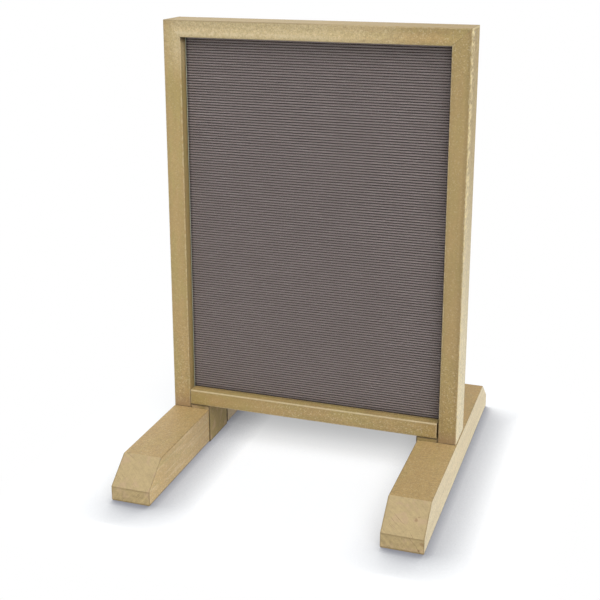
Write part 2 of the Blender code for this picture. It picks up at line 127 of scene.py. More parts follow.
class LumberSettings(bpy.types.PropertyGroup):
    """Colours and sizes of the lumber's surface."""

    # Pale: weathering of the low outer faces, and painted light where they are lit brightest.
    pale: colour_setting("Pale", "Weathered low outer faces", (0.865, 0.745, 0.50))
    # Trodden: worn upper faces of the feet, and painted light on faces turned up.
    trodden_and_lit: colour_setting("Trodden", "Upper faces of the feet", (0.56, 0.385, 0.19))
    tan: colour_setting("Tan", "Warmer patches of the moulded faces", (0.420, 0.288, 0.118))
    olive: colour_setting("Olive", "Greener patches of the moulded faces", (0.396, 0.292, 0.110))
    # Sun-bleaching of the top rail, and a painted glare highlight on it.
    bleached_and_glare: colour_setting("Bleached", "Sun-bleached part of the top rail", (0.548, 0.435, 0.245))
    sawn: colour_setting("Sawn face", "Sawn chamfers of the feet", (0.462, 0.350, 0.184))
    lip: colour_setting("Toe", "Rough upright faces at the toes", (0.415, 0.310, 0.152))
    block: colour_setting("Block", "Blocks let into the feet", (0.295, 0.222, 0.092))
    # Dirt in pits, and painted shade along rounded edges and at the toes' soles.
    grime_and_shade: colour_setting("Grime", "Dirt that settles in pits and joints", (0.20, 0.145, 0.065))
    # Dark joints, and painted shade in the inner top corner, along the soles and in the notches.
    seam: colour_setting("Seam", "Dark line where two pieces meet", (0.07, 0.05, 0.028))
    # Pale flecks and worn edges, and painted highlights on edges.
    wear_and_highlight: colour_setting("Wear", "Pale flecks and rubbed edges", (0.62, 0.51, 0.32))
    # Outer corners worn bright, and painted highlights on them.
    rubbed_and_lit: colour_setting("Rubbed", "Outer corners rubbed bright", (0.80, 0.65, 0.33))
    knot: colour_setting("Knot", "Dark core of a knot", (0.24, 0.13, 0.06))
    # Brown darkening low on the posts, just above the feet.
    low_brown: colour_setting("Damp", "Damp brown at the bottoms of the posts", (0.34, 0.22, 0.13))
    blush: colour_setting("Blush", "Pink patches of the sawn faces", (0.50, 0.34, 0.225))
    # Painted shade: a tint for the upper outer faces of the posts, the inner sides of the feet and
    # the feet's tops behind the board.
    shade_tint: colour_setting("Sheltered", "Tint of the faces that the weather spares",
                              (0.90, 0.86, 0.77))
    stipple: length_setting("Stipple size", "Width of one grain of the stipple", 2.8 * MM)
    stipple_depth: length_setting("Stipple depth", "Height of the stipple", 0.22 * MM)
    mottle: length_setting("Mottle size", "Width of the soft mottles", 8 * MM)
    mottle_depth: length_setting("Mottle depth", "Height of the soft mottles", 0.5 * MM)
    ease: length_setting("Eased edge", "Radius of the cut edges", 0.9 * MM)
    roundover: length_setting("Roundover", "Radius of the feet's long edges", 2.4 * MM)


class PanelSettings(bpy.types.PropertyGroup):
    """Colours of the grooved letter panels and of the core board."""

    ridge: colour_setting("Ridge", "Flocked ridges of the letter panel", (0.260, 0.213, 0.203))
    # Groove floors painted dark: painted shade in the grooves.
    floor: colour_setting("Groove", "Floors of the grooves", (0.062, 0.050, 0.048))
    dust: colour_setting("Dust", "Pale fluff on the ridges", (0.37, 0.32, 0.305))
    core: colour_setting("Core", "Pressed wood of the core board", (0.26, 0.18, 0.11))
    chips: colour_setting("Chips", "Dark chips in the core board", (0.12, 0.08, 0.05))


class PaneSettings(bpy.types.PropertyGroup):
    """Colours of the clear panes."""

    sheet: colour_setting("Sheet", "Flat of the pane", (0.30, 0.33, 0.32))
    edge: colour_setting("Edge", "Light gathered in the pane's edge", (0.50, 0.54, 0.41))
    haze: share_setting("Haze", "How much the pane veils what is behind it", 0.01)
    glare: share_setting("Glare", "Extra veil where the pane is seen aslant", 0.25)


class SteelSettings(bpy.types.PropertyGroup):
    """Colours of the zinc-coated fasteners."""

    zinc: colour_setting("Zinc", "Bright coat of the fasteners", (0.62, 0.62, 0.61))
    dull: colour_setting("Dull zinc", "Weathered patches of the coat", (0.38, 0.38, 0.37))
    bolt_thread: length_setting("Bolt thread", "Pitch of the lag bolts' thread", 2.8 * MM)
    screw_thread: length_setting("Screw thread", "Pitch of the block screws' thread", 2.4 * MM)


class StageSettings(bpy.types.PropertyGroup):
    """The camera, the floor and the lamps."""

    camera: FloatVectorProperty(name="Camera", description="Where the camera stands",
                                default=(0.797, -2.507, 1.315), subtype="XYZ", unit="LENGTH")
    yaw: FloatProperty(name="Yaw", description="Turn of the camera to the left of straight on",
                       default=radians(18.51), subtype="ANGLE")
    pitch: FloatProperty(name="Pitch", description="Tilt of the camera below level",
                         default=radians(15.28), subtype="ANGLE")
    lens: FloatProperty(name="Lens", description="Focal length of the camera, in millimetres",
                        default=66.4, subtype="DISTANCE_CAMERA")
    rise: FloatProperty(name="Shift", description="Vertical shift of the camera's picture",
                        default=-0.12)
    floor: colour_setting("Floor", "Pale floor", (0.93, 0.945, 0.97))
    shadow: colour_setting("Shadow", "Deepest shadow on the floor", (0.165, 0.17, 0.21))
    cool: colour_setting("Cool", "Share of its own light that the seen floor shows",
                         (0.29, 0.30, 0.315))
    contact: length_setting("Contact", "How far the feet's closest shadow reaches", 0.105)
    touch: length_setting("Touch", "Width of the dark line where the feet touch the floor", 0.022)
    lean: direction_setting("Lean", "Side from which the closest shadow is lit", (-0.5, 1.0, 0.2))
    behind: share_setting("Behind", "How much darker the floor is behind the board", 0.45)
    floor_lift: share_setting("Floor lift", "White added to the floor that is seen", 0.73)
    spread: length_setting("Shadow spread", "How far out the floor keeps its shadow", 0.30)
    ambient: strength_setting("Ambient", "Strength of the light from all round", 0.27)
    overhead: strength_setting("Overhead", "Strength added to it straight above", 0.37)
    sky: colour_setting("Sky", "Tint of the light from all round", (0.93, 0.965, 1.0))
    key: strength_setting("Key light", "Broad light above the board's right front", 2.1)
    warmth: colour_setting("Warmth", "Tint of the key light", (1.0, 0.99, 0.965))
    key_from: direction_setting("Key direction", "Where the key light comes from",
                                (0.48, -0.74, 0.95))
    fill: strength_setting("Fill light", "Low light behind the board's left rear", 0.9)
    fill_from: direction_setting("Fill direction", "Where the fill light comes from",
                                 (-0.5, 0.8, 0.25))


# Shader maths


class Value:
    """What a shader node gives, on which sums are written as Python sums."""

    def __init__(self, finish, socket):
        self.finish = finish
        self.socket = socket

    def math(self, operation, *values):
        inputs = dict(enumerate(values))
        return self.finish.node("ShaderNodeMath", {"operation": operation}, inputs)

    def __add__(self, other):
        return self.math("ADD", self, other)

    def __sub__(self, other):
        return self.math("SUBTRACT", self, other)

    def __rsub__(self, other):
        return self.math("SUBTRACT", other, self)

    def __mul__(self, other):
        return self.math("MULTIPLY", self, other)

    def __pow__(self, other):
        return self.math("POWER", self, other)

    def __rpow__(self, other):
        return self.math("POWER", other, self)

    def __abs__(self):
        return self.math("ABSOLUTE", self)

    __radd__ = __add__
    __rmul__ = __mul__

    def root(self):
        return self.math("SQRT", self)

    def most(self, other):
        """The larger of two values."""
        return self.math("MAXIMUM", self, other)

    def least(self, other):
        """The smaller of two values."""
        return self.math("MINIMUM", self, other)


class Finish:
    """A material, built one node at a time from settings and from values of other nodes."""

    def __init__(self, name, tree=None):
        self.material = None
        if tree is None:
            self.material = bpy.data.materials.new(name)
            self.material.use_nodes = True
            tree = self.material.node_tree
        self.tree = tree
        self.tree.nodes.clear()

    def node(self, kind, settings=None, inputs=None, output=0):
        """Any node: its settings come first, then the numbers or values of its sockets."""
        made = self.tree.nodes.new(kind)
        for name, value in (settings or {}).items():
            setattr(made, name, value)
        for key, value in (inputs or {}).items():
            if isinstance(value, Value):
                self.tree.links.new(value.socket, made.inputs[key])
            else:
                made.inputs[key].default_value = value
        return Value(self, made.outputs[output])

    def place(self):
        return self.node("ShaderNodeTexCoord", output="Object")

    def ray(self, kind):
        """1 for a ray of one kind, and 0 for any other."""
        return self.node("ShaderNodeLightPath", output=kind)

    def split(self, vector):
        first = self.node("ShaderNodeSeparateXYZ", inputs={0: vector})
        return [Value(self, socket) for socket in first.socket.node.outputs]

    def joined(self, x, y=0.0, z=0.0):
        return self.node("ShaderNodeCombineXYZ", inputs={0: x, 1: y, 2: z})

    def noise(self, vector, size, detail=2.0, roughness=0.5, scale=(1, 1, 1), move=(0, 0, 0)):
        """Soft noise, on a vector that may first be drawn out along an axis or moved."""
        if scale != (1, 1, 1) or move != (0, 0, 0):
            mapping = {"Vector": vector, "Scale": scale, "Location": move}
            vector = self.node("ShaderNodeMapping", inputs=mapping)
        inputs = {"Vector": vector, "Scale": 1 / size, "Detail": detail, "Roughness": roughness}
        return self.node("ShaderNodeTexNoise", inputs=inputs)

    def cells(self, vector, size):
        return self.node("ShaderNodeTexVoronoi", inputs={"Vector": vector, "Scale": 1 / size})

    def fade(self, value, low, high):
        """0 on the low value's side and 1 on the high one's, with a smooth step between."""
        inputs = {"Value": value, "From Min": low, "From Max": high}
        return self.node("ShaderNodeMapRange", {"interpolation_type": "SMOOTHSTEP"}, inputs)

    def mix(self, share, first, second, blend="MIX"):
        """One colour blended into another."""
        settings = {"data_type": "RGBA", "blend_type": blend}
        inputs = {0: share, 6: opaque(first), 7: opaque(second)}
        return self.node("ShaderNodeMix", settings, inputs, output=2)

    def distance(self, vector, point):
        """How far the surface lies from a point."""
        settings = {"operation": "DISTANCE"}
        return self.node("ShaderNodeVectorMath", settings, {0: vector, 1: point}, output="Value")

    def shade(self, colour, value):
        """A colour made darker or lighter by a value round 1."""
        colour = colour if isinstance(colour, Value) else tuple(colour)
        settings = {"operation": "SCALE"}
        return self.node("ShaderNodeVectorMath", settings, {0: colour, "Scale": value})

    def bump(self, height):
        """A normal from a height in metres."""
        inputs = {"Strength": 1.0, "Distance": 1.0, "Height": height}
        return self.node("ShaderNodeBump", inputs=inputs)

    def surface(self, **inputs):
        """The surface itself, with its sockets named in words joined by underscores."""
        named = {key.replace("_", " "): value for key, value in inputs.items()}
        self.output(self.node("ShaderNodeBsdfPrincipled", inputs=named, output="BSDF"))
        return self.material

    def light(self, colour, strength, kind="ShaderNodeEmission"):
        """Light of one colour, from a surface or from all round."""
        return self.node(kind, inputs={"Color": opaque(colour), "Strength": strength})

    def either(self, share, first, second):
        """One shader blended into another."""
        return self.node("ShaderNodeMixShader", inputs={0: share, 1: first, 2: second})

    def output(self, shader, kind="ShaderNodeOutputMaterial"):
        last = self.tree.nodes.new(kind)
        self.tree.links.new(shader.socket, last.inputs["Surface"])


def opaque(colour):
    """A colour as a colour socket takes it."""
    return colour if isinstance(colour, Value) else (*colour, 1.0)


def nearest_edge(finish, place, low, high):
    """On the surface of a box, the distance to its nearest edge."""
    x, y, z = [(axis - low[n]).least(high[n] - axis) for n, axis in enumerate(finish.split(place))]
    return x + y + z - x.most(y).most(z)


# Finishes


def lumber_relief(finish, place, settings):
    """The stipple and the soft mottles of moulded lumber, as two values round 0."""
    stipple = finish.noise(place, settings.stipple, 2.0, 0.6) - 0.5
    mottle = finish.noise(place, settings.mottle, 1.0, 0.5) - 0.5
    return stipple, mottle


def read_lumber(finish, node, axis, settings):
    """What the colours of a moulded piece follow: its place, facing, edges and noises."""
    at = SimpleNamespace()
    at.node = node
    at.is_foot = axis == Y
    at.place = finish.place()
    at.low, at.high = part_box(node)
    at.x, at.y, at.z = finish.split(at.place)
    at.facing = finish.split(finish.node("ShaderNodeTexCoord", output="Normal"))
    at.stipple, at.mottle = lumber_relief(finish, at.place, settings)
    along = [1.0, 1.0, 1.0]
    along[axis] = 0.04
    at.streak = finish.noise(at.place, 9 * MM, 2.0, 0.6, scale=along) - 0.5
    along[axis] = 0.3
    at.patch = finish.noise(at.place, 26 * MM, scale=along, move=(0.2, 0.4, 0.1))
    at.cloud = finish.noise(at.place, 120 * MM) - 0.5
    at.edge = nearest_edge(finish, at.place, at.low, at.high)
    at.up = finish.fade(at.facing[Z], *SQUARE_ON)
    outermost = max(abs(at.low[X]), abs(at.high[X]))
    at.outermost = finish.fade(abs(at.x), outermost - 4 * MM, outermost - 2 * MM)
    sideways = finish.fade(abs(at.facing[X]), *SIDE_ON)
    at.outward = sideways * at.outermost
    at.inward = sideways * (1.0 - at.outward)
    return at


def weathered_and_lit(finish, at, colour, settings):
    """The pale weathering of the outer faces and painted light on them, both strongest low down."""
    streaks = 0.95 + at.streak * 0.5 + at.mottle * 0.3
    share = finish.fade(at.z + at.cloud * 0.1, 1.18, 0.1) * streaks
    if at.is_foot:
        share = share * 0.72
    return finish.mix(at.outward * share, colour, settings.pale)


def bleached_and_glare(finish, at, colour, settings):
    """The sun-bleaching of the speckled corner, with a painted glare highlight on it: the top
    rail's left half and the post below it.
    """
    speckle = finish.noise(at.place, 3.6 * MM, 1.0, move=(0.9, 0.2, 0.6))
    share = finish.fade(at.x + at.cloud * 0.3, 0.30, 0.0)
    share = share * finish.fade(at.z + at.cloud * 0.1, 0.94, 1.07)
    share = share * (0.40 + finish.fade(at.x, -0.372, -0.335) * 0.60) * (1.0 - at.outward)
    speckled = 0.56 + finish.fade(speckle + at.mottle * 0.3, 0.40, 0.64) * 0.44
    return finish.mix(share * speckled, colour, settings.bleached_and_glare)


def post_marks(finish, at, colour, settings):
    """Worn front edges, darkened rear edges and a browned bottom of a post; a painted highlight
    along the top of its outer face and painted light towards that face's front; painted shade on
    its upper outer face, beside the right post's outer front edge and in its inner top corner.
    """
    front, rear, foot, top = at.low[Y], at.high[Y], at.low[Z], at.high[Z]
    speck = finish.noise(at.place, 6 * MM, 0.0, move=(0.6, 0.8, 0.1))
    speck = finish.fade(speck, 0.46, 0.60)
    strip = at.outward * finish.fade(at.y, front + 50 * MM, front + 8 * MM)
    # Painted highlight along the top of the outer face.
    tip = at.outward * finish.fade(at.z, top - 6 * MM, top - 3 * MM)
    beads = finish.noise(at.place, 11 * MM, 1.0, scale=(1.0, 0.4, 1.0), move=(0.3, 0.1, 0.9))
    beads = finish.fade(beads, 0.46, 0.56) * finish.fade(at.y, front + 44 * MM, front + 20 * MM)
    beads = at.outward * beads * finish.fade(at.z, 0.45, 0.75)
    worn = strip * (0.02 + speck * 0.40) + at.outward * speck * 0.16 + beads * 0.5
    # Painted shade: the upper outer face darkened and warmed.
    shade_share = at.outward * finish.fade(at.z, 0.50, 0.90)
    colour = finish.mix(shade_share, colour, settings.shade_tint, "MULTIPLY")
    green = at.outward * finish.fade(at.z, 0.60, 0.90) * finish.fade(at.y, -0.01, 0.03)
    colour = finish.mix(green * 0.35, colour, finish.shade(settings.olive, 1.35))
    colour = finish.mix(worn.most(tip * 0.55), colour, settings.rubbed_and_lit)
    line = at.outward * finish.fade(at.y, rear - 5 * MM, rear - 2 * MM)
    colour = finish.mix(line * 0.40, colour, settings.grime_and_shade)
    # Painted light: the outer face lighter towards its front.
    colour = finish.shade(colour, 1.0 + at.outward * (0.04 - at.y * 0.9))
    # Painted shade on the right post's front, beside its outer rounded edge.
    if at.node == "right_post":
        side = at.high[X]
        band = (1.0 - at.outward) * finish.fade(at.x, side - 13 * MM, side - 7 * MM)
        colour = finish.shade(colour, 1.0 - band * 0.09)
    low_brown = finish.fade(at.z + at.mottle * (20 * MM), foot + 44 * MM, foot + 6 * MM)
    colour = finish.mix(low_brown * (1.0 - at.outward) * 0.55, colour, settings.low_brown)
    # Painted shade in the inner top corner, under the top rail.
    corner = at.inward * finish.fade(at.z + at.mottle * (10 * MM), 1.040, 1.052)
    colour = finish.mix(corner * 0.85, colour, settings.seam)
    joint = finish.fade(at.z + at.mottle * (2 * MM), foot + 3 * MM, foot + 1 * MM)
    return finish.mix(joint * 0.5, colour, settings.seam)


def rail_marks(finish, at, colour, settings):
    """The bottom rail's worn crest with a painted highlight, and its top face lightened as painted
    light; the top rail's crown, the dark line along its top edge and its pale band, and its top
    face darkened as painted shade.
    """
    face_gap = at.high[Y] - abs(at.y)
    if at.node == "bottom_rail":
        # Painted highlight along the top front edge, and the top face lightened as painted light.
        crest = finish.fade(at.z, at.high[Z] - 4.5 * MM, at.high[Z] - 2 * MM)
        crest = crest * finish.fade(face_gap, 5 * MM, 1.5 * MM)
        colour = finish.shade(colour, 1.0 + at.up * 0.10)
        colour = finish.mix(crest * 0.5, colour, settings.wear_and_highlight)
        butt = finish.fade(at.x + at.mottle * (2 * MM), at.low[X] + 3 * MM, at.low[X] + 1 * MM)
        return finish.mix(butt * 0.6, colour, settings.seam)
    upright = 1.0 - at.up
    left, right = finish.fade(at.x, 0.18, -0.1), finish.fade(at.x, 0.08, 0.28)
    height = at.z + at.mottle * (4 * MM) - at.low[Z]
    bright = finish.fade(abs(height - 14 * MM), 13 * MM, 3 * MM) * upright
    dull = finish.fade(abs(height - 31 * MM), 9 * MM, 3 * MM) * upright
    # The top face is darkened as painted shade; the other terms are bands and a darker right end.
    tone = 0.985 + bright * 0.07 - dull * 0.05 - at.up * 0.11 - right * 0.07
    colour = finish.shade(colour, tone)
    colour = finish.mix(bright * left * 0.08, colour, settings.wear_and_highlight)
    crown = finish.shade(settings.tan, 1.04 + at.mottle * 0.3)
    colour = finish.mix(at.up * 0.42, colour, crown)
    seam = finish.fade(at.z, at.high[Z] - 3.4 * MM, at.high[Z] - 2.6 * MM)
    seam = seam * finish.fade(face_gap, 5 * MM, 3 * MM)
    colour = finish.mix(seam * left * 0.45, colour, settings.grime_and_shade)
    band = finish.fade(abs(at.z - (at.low[Z] + 10 * MM)), 6 * MM, 2 * MM)
    band = band * finish.fade(at.patch + at.mottle, 0.30, 0.55)
    colour = finish.mix(band * left * upright * 0.45, colour, settings.wear_and_highlight)
    rear = at.up * finish.fade(at.y, at.high[Y] - 7 * MM, at.high[Y] - 3 * MM)
    return finish.mix(rear * 0.30, colour, settings.grime_and_shade)


def foot_marks(finish, at, colour, settings):
    """Flow streaks on the sides of a foot; painted shade along its long edges, on its inner side
    and its top behind the board, at its sole and in its notch; painted light on its inner side
    towards the toe.
    """
    flow = finish.noise(at.place, 7 * MM, 3.0, 0.6, scale=(1.0, 0.07, 1.0))
    streaks = finish.fade(flow, 0.50, 0.66) * abs(at.facing[X])
    colour = finish.mix(streaks * 0.32, colour, settings.wear_and_highlight)
    # Painted shade along the foot's rounded edges.
    line = finish.fade(at.edge + at.mottle * (2 * MM), 3.2 * MM, 1.4 * MM)
    colour = finish.mix(line * 0.50, colour, settings.grime_and_shade)
    # Painted shade on the inner side, and on the top behind the board.
    shade_share = at.inward * finish.fade(at.y, -0.24, -0.06) * 0.8
    shade_share = shade_share + at.up * finish.fade(at.y, 0.02, 0.12)
    colour = finish.mix(shade_share, colour, settings.shade_tint, "MULTIPLY")
    # Painted light: the inner side lighter towards the toe.
    lit = finish.fade(at.y, -0.03, -0.22) * 0.27 + finish.fade(at.y, -0.26, -0.40) * 0.10
    colour = finish.shade(colour, 1.0 + at.inward * lit)
    # Painted shade where the sole meets the floor.
    sole = finish.fade(at.z + at.mottle * (3 * MM), 6.5 * MM, 2 * MM)
    colour = finish.mix(sole * 0.62, colour, settings.seam)
    # Painted shade in the notch beside the block.
    notch = finish.fade(abs(at.facing[Y]), *SQUARE_ON)
    notch = notch * finish.fade(abs(at.y), 120 * MM, 110 * MM)
    return finish.mix(notch * 0.8, colour, settings.seam)


MARKS = {X: rail_marks, Y: foot_marks, Z: post_marks}


def liveliness(finish, at, axis):
    """How strongly the grain shows: least half way up the posts and on the bottom rail's left."""
    if at.node == "bottom_rail":
        return 0.55 + finish.fade(at.x, -0.20, 0.0) * 0.55
    if axis == Z:
        low_down = finish.fade(at.z, 0.42, 0.16) * 0.75
        high_up = finish.fade(at.z, 0.90, 1.06) * 0.45
        return 0.48 + low_down + high_up + at.outward * 0.9
    return 1.15 if axis == X else 1.1


def moulded_lumber(name, node, axis, settings, tone=1.0):
    """Moulded lumber: stippled, patched with tan and olive, faintly streaked; painted shade beside
    its edges, and worn edges with a painted highlight.
    """
    finish = Finish(name)
    at = read_lumber(finish, node, axis, settings)
    olive = finish.fade(at.patch, *((0.46, 0.78) if at.is_foot else (0.36, 0.64)))
    olive_most = 0.6 if node == "right_post" else 1.0
    colour = finish.mix(olive * olive_most, settings.tan, settings.olive)
    if node in ("top_rail", "left_post"):
        colour = bleached_and_glare(finish, at, colour, settings)
    if at.is_foot:
        # Upper faces of the feet lighter: worn, and painted light on faces that face up.
        colour = finish.mix(at.up * 0.36, colour, settings.trodden_and_lit)
    if axis != X:
        # Pale outer faces: weathering, and painted light that grows towards the floor.
        colour = weathered_and_lit(finish, at, colour, settings)
    busy = liveliness(finish, at, axis)
    grain = (at.stipple * 0.72 + at.mottle * 0.26) * busy
    colour = finish.shade(colour, tone + grain + at.streak * 0.16 + at.cloud * 0.14)
    flecks = finish.noise(at.place, 3.4 * MM, 1.0, move=(0.31, 0.17, 0.53))
    colour = finish.mix(finish.fade(flecks, 0.58, 0.72) * busy * 0.46, colour, settings.wear_and_highlight)
    colour = finish.mix(finish.fade(flecks, 0.40, 0.28) * busy * 0.20, colour, settings.grime_and_shade)
    if not at.is_foot:
        # Painted shade beside the edges, and worn edges with a painted highlight.
        colour = finish.shade(colour, 1.0 - finish.fade(at.edge, 12 * MM, 3 * MM) * 0.07)
        rubbed_and_lit = finish.fade(at.edge + at.mottle * (7 * MM), 3.2 * MM, 1.4 * MM)
        colour = finish.mix(rubbed_and_lit * 0.40, colour, settings.wear_and_highlight)
        rim = finish.fade(at.edge, 1.6 * MM, 0.8 * MM) * at.outermost
        colour = finish.mix(rim * 0.35, colour, settings.grime_and_shade)
    colour = MARKS[axis](finish, at, colour, settings)
    height = at.stipple * settings.stipple_depth + at.mottle * settings.mottle_depth
    return finish.surface(Base_Color=colour, Roughness=0.52 + at.stipple * 0.3 + at.cloud * 0.1,
                          Normal=finish.bump(height), Specular_IOR_Level=0.3,
                          Coat_Weight=(1.0 - at.up) * (1.0 - at.outward) * 0.25,
                          Coat_Roughness=0.32)


def sawn_lumber(name, node, colour_name, settings, blade, knots=(), lip=None, torn=1.0):
    """Sawn lumber: pores, mottles and the uneven arcs that a blade leaves round its centre."""
    finish = Finish(name)
    place = finish.place()
    low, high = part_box(node)
    x, _, z = finish.split(place)
    stipple, mottle = lumber_relief(finish, place, settings)
    waver = finish.noise(place, 45 * MM) - 0.5
    reach = finish.distance(place, blade) + waver * (9 * MM)
    arcs = finish.noise(finish.joined(reach), 7 * MM, 3.0, 0.7) - 0.5
    score = finish.noise(finish.joined(reach, 0.4), 11 * MM, 1.0)
    scored = finish.fade(abs(score - 0.5), 0.016, 0.004) * finish.fade(waver, -0.02, 0.14)
    pores = finish.fade(finish.cells(place, 9 * MM), 0.14, 0.05)
    tone = 1.0 + (stipple * 0.30 + mottle * 0.26 + arcs * 0.46) * torn + waver * 0.24
    colour = finish.shade(getattr(settings, colour_name), tone)
    pink = finish.noise(place, 24 * MM, 2.0, 0.6, move=(0.7, 0.1, 0.3))
    colour = finish.mix(finish.fade(pink, 0.52, 0.66) * 0.4, colour, settings.blush)
    colour = finish.mix(pores * 0.22 * torn + scored * 0.85, colour, settings.grime_and_shade)
    for middle, width in knots:
        rough_distance = finish.distance(place, middle) + mottle * (10 * MM)
        core = finish.fade(rough_distance, width, 0.3 * width)
        colour = finish.mix(core * 0.5, colour, settings.knot)
    if node.endswith("_foot"):
        gap, dirt, share = (x - low[X]).least(high[X] - x), settings.grime_and_shade, 0.45
    else:
        gap, dirt, share = nearest_edge(finish, place, low, high), settings.seam, 0.75
    line = finish.fade(gap + mottle * (3 * MM), 3.4 * MM, 1.4 * MM)
    if lip is not None:
        top = finish.fade(z + mottle * (7 * MM), lip - 6 * MM, lip - 2 * MM) * (0.95 + waver)
        # Painted shade where the toe meets the floor.
        sole = finish.fade(z + mottle * (2 * MM), 5.5 * MM, 1.5 * MM) * 1.7
        line = line.most(top.most(sole))
    colour = finish.mix(line * share, colour, dirt)
    height = stipple * settings.stipple_depth + mottle * settings.mottle_depth
    height = height + arcs * (0.25 * MM) - (pores + scored) * (0.3 * MM)
    return finish.surface(Base_Color=colour, Roughness=0.74 + stipple * 0.2,
                          Normal=finish.bump(height), Specular_IOR_Level=0.35)


def flocked_panel(name, face, settings):
    """A flocked letter panel: pale fluff on the ridges, groove floors painted dark as painted
    shade, and painted shade beside the posts and above the bottom rail.
    """
    finish = Finish(name)
    place = finish.place()
    low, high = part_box(f"{face}_letter_panel")
    x, y, z = finish.split(place)
    surface = max(abs(low[Y]), abs(high[Y]))
    on_ridge = finish.fade(abs(y), surface - 2.6 * MM, surface - 0.3 * MM)
    fluff = finish.noise(place, 1.1 * MM, 2.0, 0.6) - 0.5
    along = finish.noise(place, 3.0 * MM, scale=(0.08, 1.0, 1.0)) - 0.5
    cloud = finish.noise(place, 90 * MM) - 0.5
    colour = finish.mix(on_ridge, settings.floor, settings.ridge)
    dusty = finish.fade(along, 0.06, 0.24) * on_ridge
    colour = finish.mix(dusty * 0.25, colour, settings.dust)
    # Painted shade beside the posts and above the bottom rail.
    shaded = finish.fade(abs(x), 321 * MM, 326 * MM) * 0.4
    shaded = shaded + finish.fade(z, 150 * MM, 144 * MM) * 0.3
    colour = finish.shade(colour, 1.0 + fluff * 0.22 + along * 0.24 + cloud * 0.08 - shaded)
    return finish.surface(Base_Color=colour, Roughness=0.94 + fluff * 0.08,
                          Normal=finish.bump(fluff * (0.04 * MM)), Specular_IOR_Level=0.1)


def pressed_board(name, settings):
    """Pressed wood board: felted fibres and small dark chips."""
    finish = Finish(name)
    place = finish.place()
    fibre = finish.noise(place, 2.4 * MM, 3.0, 0.6, scale=(0.2, 1.0, 1.0)) - 0.5
    chips = finish.fade(finish.cells(place, 5 * MM), 0.3, 0.1)
    colour = finish.shade(settings.core, 1.0 + fibre * 0.5)
    colour = finish.mix(chips * 0.25, colour, settings.chips)
    return finish.surface(Base_Color=colour, Roughness=0.85 + fibre * 0.1,
                          Normal=finish.bump(fibre * (0.2 * MM)))


def clear_pane(name, face, settings):
    """A clear sheet, all but unseen straight on, with light gathered in its sawn edges."""
    finish = Finish(name)
    place = finish.place()
    low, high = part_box(f"{face}_pane")
    x, _, z = finish.split(place)
    at_side = finish.fade(abs(x), high[X] - 0.9 * MM, high[X] - 0.3 * MM)
    middle, half = (low[Z] + high[Z]) / 2, (high[Z] - low[Z]) / 2
    at_end = finish.fade(abs(z - middle), half - 0.9 * MM, half - 0.3 * MM)
    edge = at_side.most(at_end)
    smear = finish.noise(place, 70 * MM, 3.0, 0.6, scale=(1.0, 1.0, 0.3))
    aslant = finish.node("ShaderNodeLayerWeight", inputs={"Blend": 0.25}, output="Fresnel")
    veil = settings.haze + aslant * settings.glare
    colour = finish.mix(edge, settings.sheet, settings.edge)
    rough = 0.04 + finish.fade(smear, 0.5, 0.8) * 0.05 + edge * 0.3
    return finish.surface(Base_Color=colour, Roughness=rough,
                          Alpha=veil + edge * (0.85 - veil), IOR=1.49)


def zinc_steel(name, settings):
    """Zinc-coated steel with dull patches and fine scratches."""
    finish = Finish(name)
    place = finish.place()
    dull = finish.fade(finish.noise(place, 3 * MM, 3.0, 0.6), 0.42, 0.62)
    scratch = finish.noise(place, 0.3 * MM, scale=(1.0, 1.0, 0.1)) - 0.5
    colour = finish.shade(finish.mix(dull, settings.zinc, settings.dull), 1.0 + scratch * 0.2)
    return finish.surface(Base_Color=colour, Metallic=1.0,
                          Roughness=0.34 + dull * 0.22 + scratch * 0.1,
                          Normal=finish.bump(scratch * (0.01 * MM)))


# Shapes


def merged_copy(node):
    """A CAD node's mesh as one closed shape, with its flat faces whole again."""
    shape = bmesh.new()
    shape.from_mesh(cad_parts[node].data)
    bmesh.ops.remove_doubles(shape, verts=shape.verts, dist=WELD)
    bmesh.ops.dissolve_limit(shape, angle_limit=radians(1), verts=shape.verts, edges=shape.edges)
    return shape


def outer_edges(shape, node, reach=4 * MM, long=6 * MM):
    """The convex edges of a piece, without its mitres and the rims of its bores."""
    low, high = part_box(node)
    found = []
    for edge in shape.edges:
        if not edge.is_manifold or not edge.is_convex or edge.calc_face_angle() < CUT_EDGE:
            continue
        if any(abs(face.normal.x) > 0.3 and abs(face.normal.z) > 0.3 for face in edge.link_faces):
            continue
        middle = (edge.verts[0].co + edge.verts[1].co) / 2
        near = sum(min(middle[n] - low[n], high[n] - middle[n]) < reach for n in (X, Y, Z))
        if near > 1 or edge.calc_length() > long:
            found.append(edge)
    return found


def ease(shape, edges, radius, segments=2):
    bmesh.ops.bevel(shape, geom=edges, offset=radius, offset_type="OFFSET", affect="EDGES",
                    segments=segments, profile=0.5, material=-1, clamp_overlap=True)


def eased_copy(node, settings):
    shape = merged_copy(node)
    ease(shape, outer_edges(shape, node), settings.ease)
    return shape


def lathed(profile, segments, closed=False):
    """A shape turned round the Z axis from pairs of radius and height."""
    shape = bmesh.new()
    verts = [shape.verts.new((radius, 0.0, height)) for radius, height in profile]
    edges = [shape.edges.new(pair) for pair in zip(verts, verts[1:])]
    if closed:
        edges.append(shape.edges.new((verts[-1], verts[0])))
    bmesh.ops.spin(shape, geom=verts + edges, cent=(0, 0, 0), axis=(0, 0, 1), angle=tau,
                   steps=segments, use_merge=True)
    bmesh.ops.remove_doubles(shape, verts=shape.verts, dist=WELD)
    bmesh.ops.recalc_face_normals(shape, faces=shape.faces)
    return shape


